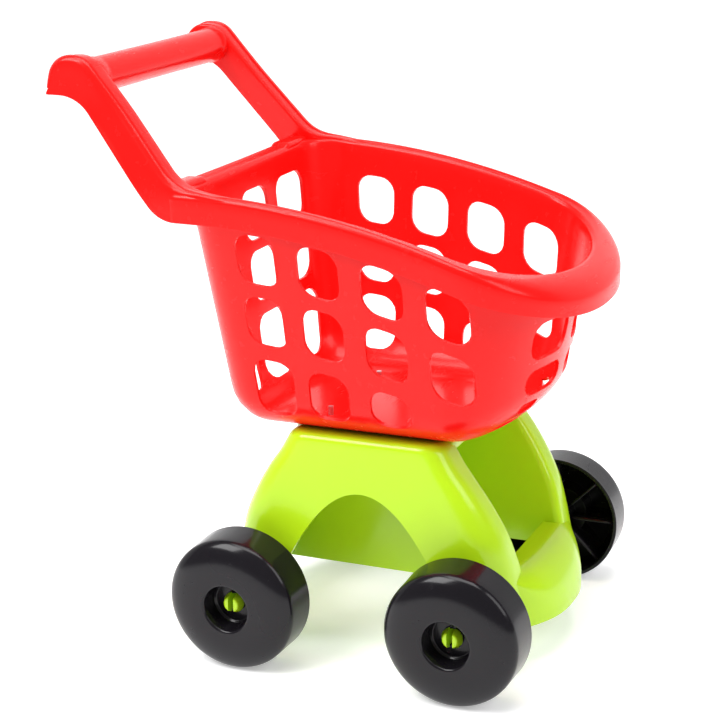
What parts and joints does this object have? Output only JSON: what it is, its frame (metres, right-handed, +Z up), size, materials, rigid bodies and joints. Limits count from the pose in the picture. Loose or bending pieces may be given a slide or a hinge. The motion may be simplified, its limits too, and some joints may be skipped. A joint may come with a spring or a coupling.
{
  "type": "toy shopping cart",
  "caption": "Child-size moulded plastic shopping cart: pierced basket on an arched saddle base, leaning arms with a push bar, free-rolling hollow wheels.",
  "frame": {"origin": "on the floor under the middle of the overall box", "axes": "+X towards the nose of the basket, +Y to the cart's left, +Z up"},
  "size_m": [0.381, 0.281, 0.436],
  "materials": {
    "red_plastic": "glossy moulded",
    "lime_plastic": "glossy moulded",
    "black_plastic": "glossy moulded",
    "screw_steel": "plain"
  },
  "bodies": {
    "cart_frame": {"basket": "red_plastic", "handle_bar": "red_plastic", "base_frame": "lime_plastic", "basket_screws": "screw_steel", "axle_pin_rear_right": "lime_plastic", "axle_pin_rear_left": "lime_plastic", "axle_pin_front_right": "lime_plastic", "axle_pin_front_left": "lime_plastic"},
    "wheel_rear_right": {"wheel_rear_right": "black_plastic"},
    "wheel_rear_left": {"wheel_rear_left": "black_plastic"},
    "wheel_front_right": {"wheel_front_right": "black_plastic"},
    "wheel_front_left": {"wheel_front_left": "black_plastic"}
  },
  "joints": [
    {"name": "rear_right_wheel_spin", "type": "hinge", "parent": "cart_frame", "child": "wheel_rear_right", "pos_m": [-0.0485, -0.122, 0.05], "axis": [0, 1, 0], "continuous": true},
    {"name": "rear_left_wheel_spin", "type": "hinge", "parent": "cart_frame", "child": "wheel_rear_left", "pos_m": [-0.0485, 0.122, 0.05], "axis": [0, 1, 0], "continuous": true},
    {"name": "front_right_wheel_spin", "type": "hinge", "parent": "cart_frame", "child": "wheel_front_right", "pos_m": [0.1195, -0.122, 0.05], "axis": [0, 1, 0], "continuous": true},
    {"name": "front_left_wheel_spin", "type": "hinge", "parent": "cart_frame", "child": "wheel_front_left", "pos_m": [0.1195, 0.122, 0.05], "axis": [0, 1, 0], "continuous": true}
  ]
}
